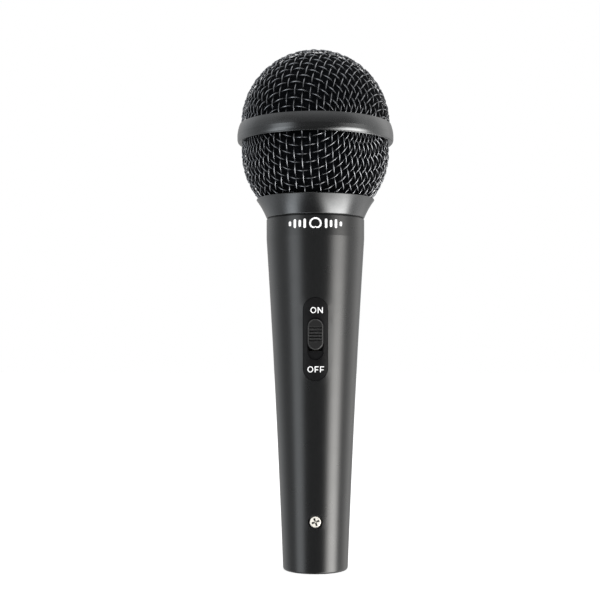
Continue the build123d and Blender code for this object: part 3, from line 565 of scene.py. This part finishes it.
def build_foam():
    """Both foam linings, from the sizes of their CAD solids."""
    dome_low, dome_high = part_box("foam_dome")
    bowl_low, bowl_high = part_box("foam_bowl")
    dome_r = dome_high.x
    dome_centre = dome_high.z - dome_r
    # Half a degree short of the pole, where the rings would shrink to a point
    top = math.radians(89.5)
    foot = -math.asin((dome_centre - dome_low.z) / dome_r)
    outer = arc_points(dome_r, dome_centre, foot, top, FOAM_RINGS)
    inner = arc_points(dome_r - FOAM_WALL, dome_centre, top, foot, FOAM_RINGS // 2)
    dome = foam_shell("foam_dome_lining", outer + inner, FOAM)
    bowl_r = bowl_high.x
    # A thin skirt, straight inside, carries the bowl's lining down into the collar
    skirt_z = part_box("grille_collar")[1].z - SKIRT_DROP
    foot = -math.asin((FOAM_BOWL_CENTRE - skirt_z) / bowl_r)
    top = math.asin((bowl_high.z - FOAM_BOWL_CENTRE) / bowl_r)
    inner_foot = -math.asin((FOAM_BOWL_CENTRE - bowl_low.z) / (bowl_r - FOAM_WALL))
    outer = arc_points(bowl_r, FOAM_BOWL_CENTRE, foot, top, FOAM_RINGS)
    inner = arc_points(bowl_r - FOAM_WALL, FOAM_BOWL_CENTRE, top, inner_foot, FOAM_RINGS // 2)
    skirt = [(inner[-1][0], skirt_z)]
    bowl = foam_shell("foam_bowl_lining", outer + inner + skirt, FOAM)
    for piece, node in ((dome, "foam_dome"), (bowl, "foam_bowl")):
        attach(piece, "grille_head")
        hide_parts(node)


# ---------------------------------------------------------------------------------------------
# Printed marks, as thin ink laid on the surface below
# ---------------------------------------------------------------------------------------------

INK_STEP = 0.25 * MM
INK_HEIGHT = 0.03 * MM
MOST_SPLITS = 5
PRINT_RAY_START = -0.1

# Words stand above and below the plate's middle, a little to its right
ON_RISE = 9.48 * MM
ON_SHIFT = 0.4 * MM
OFF_DROP = 9.95 * MM
OFF_SHIFT = 0.1 * MM

# The mark below the collar: a pickup-pattern sign between two rows of level bars
MARK_DROP = 3.3 * MM
SIGN_HEIGHT = 3.5 * MM
SIGN_STROKE = 0.42 * MM
BAR_WIDTH = 0.8 * MM
BAR_HEIGHTS = (3.1 * MM, 2.3 * MM, 2.9 * MM, 1.6 * MM)
FIRST_BAR_OUT = 3.5 * MM
BAR_PITCH = 1.62 * MM


def ring(width, height, count=40):
    """An ellipse's outline."""
    angles = [2 * math.pi * k / count for k in range(count)]
    return [(width / 2 * math.cos(a), height / 2 * math.sin(a)) for a in angles]


def letter_o(width, height, stroke):
    """An outline with a hole, its top and foot a little thinner than its sides."""
    return [ring(width, height), ring(width - 2 * stroke, height - 1.8 * stroke)]


def letter_n(width, height, stroke):
    """Two uprights and a slanted stroke between them."""
    x = width / 2
    y = height / 2
    slant = 1.25 * stroke
    return [[
        (-x, -y), (-x + stroke, -y), (-x + stroke, y - slant * 1.5), (x - stroke, -y), (x, -y),
        (x, y), (x - stroke, y), (x - stroke, -y + slant * 1.5), (-x + stroke, y), (-x, y),
    ]]


def letter_f(width, height, stroke):
    """An upright with two arms, the lower one just below the middle."""
    x = width / 2
    y = height / 2
    arm = 0.08 * height
    return [[
        (-x, -y), (-x + stroke, -y), (-x + stroke, -arm - stroke / 2), (x * 0.8, -arm - stroke / 2),
        (x * 0.8, -arm + stroke / 2), (-x + stroke, -arm + stroke / 2), (-x + stroke, y - stroke),
        (x, y - stroke), (x, y), (-x, y),
    ]]


CAP_HEIGHT = 1.98 * MM
LETTER_STROKE = 0.29 * MM
LETTER_GAP = 0.46 * MM
LETTER_O = (letter_o, 1.9 * MM)
LETTER_N = (letter_n, 1.7 * MM)
LETTER_F = (letter_f, 1.3 * MM)


def word(letters, middle):
    """Letters side by side about a middle, each a drawing with its width."""
    x = middle - (sum(width for _, width in letters) + LETTER_GAP * (len(letters) - 1)) / 2
    groups = []
    for draw, width in letters:
        groups.append(moved(draw(width, CAP_HEIGHT, LETTER_STROKE), x + width / 2, 0))
        x += width + LETTER_GAP
    return groups


def bar(width, height):
    """An upright bar with round ends."""
    steps = 8
    radius = width / 2
    rise = height / 2 - radius
    angles = [math.pi * k / steps for k in range(steps + 1)]
    top = [(radius * math.cos(a), rise + radius * math.sin(a)) for a in angles]
    return [top + [(-x, -y) for x, y in top]]


def cardioid(height, stroke):
    """A heart-shaped pickup-pattern sign, as an outline with a hole."""
    count = 56
    # On a cardioid of size 1: its height, the point above its cusp taken as its middle, and the reach
    # within which the cusp's tip is left off
    full_height = 2.25
    middle = 0.75
    tip = 0.02

    def outline(size):
        loop = []
        for k in range(count):
            angle = 2 * math.pi * k / count
            reach = 1 + math.sin(angle)
            if reach > tip:
                loop.append((size * reach * math.cos(angle), size * (reach * math.sin(angle) - middle)))
        return loop

    size = height / full_height
    return [outline(size), outline(size - stroke)]


def moved(loops, x, y):
    """A drawing's loops, shifted."""
    return [[(px + x, py + y) for px, py in loop] for loop in loops]


def print_on(name, groups, node, centre_z, body):
    """Lays filled outlines, given in metres about centre_z, on a CAD node's front."""
    surface = BVHTree.FromObject(NODES[node], bpy.context.evaluated_depsgraph_get())
    flat = bmesh.new()
    for loops in groups:
        edges = []
        for loop in loops:
            corners = [flat.verts.new((x, 0, z)) for x, z in loop]
            edges += [flat.edges.new((corners[k - 1], corners[k])) for k in range(len(corners))]
        bmesh.ops.triangle_fill(flat, use_beauty=True, use_dissolve=False, edges=edges)
    for _ in range(MOST_SPLITS):
        long_edges = [e for e in flat.edges if e.calc_length() > INK_STEP]
        if not long_edges:
            break
        bmesh.ops.subdivide_edges(flat, edges=long_edges, cuts=1)
        bmesh.ops.triangulate(flat, faces=flat.faces[:])
    bmesh.ops.recalc_face_normals(flat, faces=flat.faces[:])
    if sum(face.normal.y for face in flat.faces) > 0:
        bmesh.ops.reverse_faces(flat, faces=flat.faces[:])
    lifted = bmesh.ops.extrude_face_region(flat, geom=flat.faces[:])
    for vert in flat.verts:
        start = Vector((vert.co.x, PRINT_RAY_START, centre_z + vert.co.z))
        vert.co = surface.ray_cast(start, Vector((0, 1, 0)))[0]
    tops = {v for v in lifted["geom"] if isinstance(v, bmesh.types.BMVert)}
    for vert in flat.verts:
        vert.co.y += -INK_HEIGHT if vert in tops else INK_HEIGHT / 4
    bmesh.ops.recalc_face_normals(flat, faces=flat.faces[:])
    mesh = bpy.data.meshes.new(name)
    flat.to_mesh(mesh)
    flat.free()
    mesh.materials.append(INK)
    obj = bpy.data.objects.new(name, mesh)
    bpy.context.scene.collection.objects.link(obj)
    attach(obj, body)
    return obj


def build_prints():
    """The switch's two words and the mark below the collar."""
    plate_low, plate_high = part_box("switch_plate")
    middle = (plate_low.z + plate_high.z) / 2
    print_on(
        "print_on", word((LETTER_O, LETTER_N), ON_SHIFT),
        "switch_plate", middle + ON_RISE, "handle",
    )
    print_on(
        "print_off", word((LETTER_O, LETTER_F, LETTER_F), OFF_SHIFT),
        "switch_plate", middle - OFF_DROP, "handle",
    )
    groups = [cardioid(SIGN_HEIGHT, SIGN_STROKE)]
    for k, height in enumerate(BAR_HEIGHTS):
        offset = FIRST_BAR_OUT + BAR_PITCH * k
        for side in (-1, 1):
            groups.append(moved(bar(BAR_WIDTH, height), side * offset, 0))
    handle_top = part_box("grille_collar")[0].z
    print_on("print_mark", groups, "handle_body", handle_top - MARK_DROP, "handle")


# ---------------------------------------------------------------------------------------------
# Studio
# ---------------------------------------------------------------------------------------------

CAMERA_DISTANCE = 0.4083
EYE_Z = 0.073
SENSOR_WIDTH = 36
LENS = 72
LENS_SHIFT = (-0.0257, 0.0902)
FLOOR_REACH = 4.0
FLOOR_GAP = 0.05 * MM
LIGHTS_AIM = Vector((0, 0, 0.1))
# Sines of the elevations over which a leaning box's foot shifts, and the level of the wall behind
LEAN_RISE = (-0.45, -0.1)
WALL_LEVEL = 0.4


def stage_material(name, tone, glow):
    """An even pale surface that also glows a little, so that shadows on it stay faint."""
    m = Material(name)
    m.colour(m.noise(3, 2.0), (tone, tone, tone), (tone + 0.01, tone + 0.01, tone + 0.01))
    m.set(Roughness=0.8, Specular_IOR_Level=0.0, Emission_Color=(1, 1, 1, 1), Emission_Strength=glow)
    return m.material


def soft_light(name, place, side, power):
    """A broad square light that adds no highlight of its own: the world holds what gloss reflects."""
    data = bpy.data.lights.new(name, "AREA")
    data.shape = "SQUARE"
    data.size = side
    data.energy = power
    obj = bpy.data.objects.new(name, data)
    obj.location = place
    obj.rotation_mode = "QUATERNION"
    obj.rotation_quaternion = (LIGHTS_AIM - Vector(place)).to_track_quat("-Z", "Y")
    obj.visible_glossy = False
    obj.visible_camera = False
    bpy.context.scene.collection.objects.link(obj)


def build_world():
    """White to the camera.  To the object, a dark front, tall soft boxes and a pale wall and ceiling."""
    world = bpy.data.worlds.new("studio")
    w = Tree(world)
    direction = w.add("ShaderNodeTexCoord").outputs["Generated"]
    axes = w.add("ShaderNodeSeparateXYZ", Vector=direction).outputs
    rise = axes["Z"]
    turn = w.math("ARCTAN2", axes["X"], w.math("MULTIPLY", axes["Y"], -1.0))

    def soft_box(centre, half, edge, flare, stops, lean=0.0):
        """A tall box: angles in degrees; flare widens it away from the horizon, lean shifts its foot."""
        shift = w.spread(rise, math.radians(lean), 0.0, *LEAN_RISE)
        off = w.math("SUBTRACT", w.math("SUBTRACT", turn, math.radians(centre)), shift)
        off = w.math("ABSOLUTE", off)
        off = w.math("SUBTRACT", off, w.math("MULTIPLY", w.math("MULTIPLY", rise, rise), flare))
        sides = w.spread(off, 1.0, 0.0, math.radians(half - edge), math.radians(half + edge), "SMOOTHSTEP")
        return w.math("MULTIPLY", sides, w.by_elevation(rise, stops))

    key_stops = ((-75, 0.6), (-53, 3.7), (-42, 6.8), (-15, 14.0), (-8, 10.6), (-3, 8.0), (2, 6.6), (9, 0))
    fill_stops = ((-62, 2.1), (-30, 2.8), (6, 2.9), (22, 0))
    behind = w.math("ABSOLUTE", turn)
    ceiling_stops = ((12, 0.16), (34, 0.42), (45, 0.7), (60, 1.05))
    warm = (1.0, 0.99, 0.97)
    cool = (0.95, 0.98, 1.0)
    white = (1, 1, 1)
    # Each light's level and tint: key, fill, two pairs of rim lights, wall and ceiling
    parts = (
        (soft_box(58, 15, 12, 0.64, key_stops), (1.0, 0.985, 0.955)),
        (soft_box(-50, 14, 8, 0.0, fill_stops, -10), (0.93, 0.97, 1.0)),
        (soft_box(100, 35, 15, 0.0, ((60, 0.9), (80, 0))), warm),
        (soft_box(-100, 35, 15, 0.0, ((60, 0.35), (80, 0))), cool),
        (soft_box(124, 20, 14, 0.0, ((60, 0.5), (80, 0))), warm),
        (soft_box(-125, 20, 14, 0.0, ((60, 0.42), (80, 0))), cool),
        (w.spread(behind, 0.0, WALL_LEVEL, math.radians(115), math.radians(155), "SMOOTHSTEP"), white),
        (w.by_elevation(rise, ceiling_stops), white),
    )
    total = None
    for level, tint in parts:
        lit = w.add("ShaderNodeVectorMath", operation="SCALE", Scale=level)
        lit.inputs[0].default_value = tint
        if total is None:
            total = lit.outputs[0]
            continue
        joined = w.add("ShaderNodeVectorMath", operation="ADD")
        w.link(total, joined.inputs[0])
        w.link(lit.outputs[0], joined.inputs[1])
        total = joined.outputs[0]
    studio = w.tree.nodes["Background"]
    w.link(total, studio.inputs["Color"])
    backdrop = w.add("ShaderNodeBackground", Color=(1, 1, 1, 1), Strength=1.0)
    seen = w.add("ShaderNodeLightPath").outputs["Is Camera Ray"]
    mix = w.add("ShaderNodeMixShader", Fac=seen)
    w.link(studio.outputs[0], mix.inputs[1])
    w.link(backdrop.outputs[0], mix.inputs[2])
    w.link(mix.outputs[0], w.tree.nodes["World Output"].inputs["Surface"])
    bpy.context.scene.world = world


def build_studio():
    """A plain pale floor in a white room."""
    reach = FLOOR_REACH
    corners = [(-reach, -reach, 0), (reach, -reach, 0), (reach, reach, 0), (-reach, reach, 0)]
    pale = stage_material("pale_floor", 0.35, 0.72)
    floor = mesh_object("studio_floor", corners, [(0, 1, 2, 3)], pale, False)
    floor.location.z = -FLOOR_GAP
    floor.visible_glossy = False
    soft_light("front_soft", place=(0.25, -1.3, 0.7), side=0.9, power=12)
    soft_light("top_soft", place=(0, 0.4, 1.5), side=1.2, power=10)
    build_world()
    bpy.context.scene.view_settings.view_transform = "Standard"


def build_camera():
    """Level camera straight in front of the switch, a little below it."""
    data = bpy.data.cameras.new("camera")
    data.sensor_width = SENSOR_WIDTH
    data.lens = LENS
    data.shift_x, data.shift_y = LENS_SHIFT
    data.clip_start = 0.01
    data.clip_end = 20
    obj = bpy.data.objects.new("camera", data)
    obj.location = (0, -CAMERA_DISTANCE, EYE_Z)
    obj.rotation_euler = (math.radians(90), 0, 0)
    bpy.context.scene.collection.objects.link(obj)
    bpy.context.scene.camera = obj


build_camera()
build_studio()
dress_cad_nodes()
build_grille()
build_foam()
build_prints()
